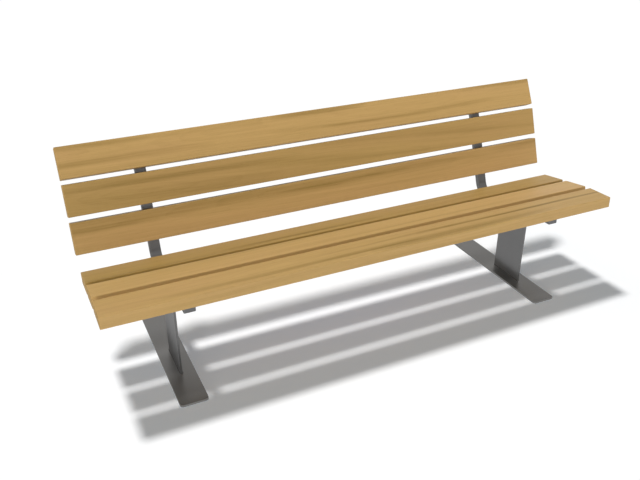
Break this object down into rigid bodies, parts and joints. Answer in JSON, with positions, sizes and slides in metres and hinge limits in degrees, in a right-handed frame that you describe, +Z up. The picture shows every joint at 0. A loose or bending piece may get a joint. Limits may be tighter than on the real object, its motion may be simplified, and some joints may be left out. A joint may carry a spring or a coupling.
{
  "type": "outdoor bench",
  "caption": "Outdoor bench with a low reclined back: timber boards on two welded steel frames, each a flat foot, an upright plate and one bent flat bar under seat and back.",
  "frame": {"origin": "on the floor, under the middle of the bench's bounding box", "axes": "+X along the bench to the right as seen from the front, +Y to the back, +Z up; the front faces -Y"},
  "size_m": [2, 0.6282, 0.7581],
  "materials": {
    "timber": "planed softwood with a warm honey stain, satin, grain along the board",
    "steel": "dark grey satin coating over flat bar and plate",
    "fastener": "dull zinc plating"
  },
  "bodies": {
    "root": {"seat_board_front": "timber", "seat_board_middle": "timber", "seat_board_rear": "timber", "back_board_lower": "timber", "back_board_middle": "timber", "back_board_top": "timber", "bar_left": "steel", "bar_right": "steel", "leg_left": "steel", "leg_right": "steel", "foot_left": "steel", "foot_right": "steel", "foot_weld_left": "steel", "foot_weld_right": "steel", "bar_weld_left": "steel", "bar_weld_right": "steel", "screws_seat_front": "fastener", "screws_seat_middle": "fastener", "screws_seat_rear": "fastener", "screws_back_lower": "fastener", "screws_back_middle": "fastener", "screws_back_top": "fastener", "washers_seat_front": "fastener", "washers_seat_middle": "fastener", "washers_seat_rear": "fastener", "washers_back_lower": "fastener", "washers_back_middle": "fastener", "washers_back_top": "fastener"}
  },
  "joints": []
}
